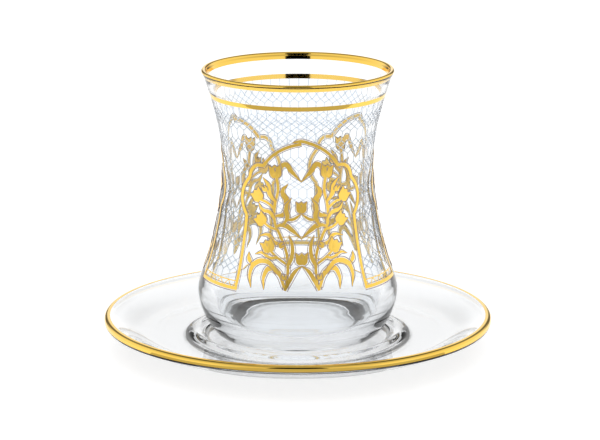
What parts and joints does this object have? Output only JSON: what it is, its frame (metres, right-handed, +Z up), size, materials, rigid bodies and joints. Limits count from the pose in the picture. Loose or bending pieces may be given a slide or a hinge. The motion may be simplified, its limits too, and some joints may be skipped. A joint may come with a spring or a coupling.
{
  "type": "tea glass with saucer",
  "caption": "Empty clear tea glass with a pinched waist and rounded heel, standing on its clear glass saucer, with gold lip, rim and arch lines.",
  "frame": {"origin": "on the floor under the middle of the saucer's foot ring", "axes": "+Z up along the axis of the glass and the saucer, -Y towards the front arch"},
  "size_m": [0.1268, 0.1268, 0.0926],
  "materials": {
    "clear_glass": "clear polished soda glass",
    "saucer_glass": "clear polished soda glass",
    "gold": "polished fired gold"
  },
  "bodies": {
    "root": {"tea_glass": "clear_glass", "saucer": "saucer_glass", "gold_lip": "gold", "gold_ring": "gold", "gold_saucer_rim": "gold", "gold_arch_frame": "gold"}
  },
  "joints": []
}
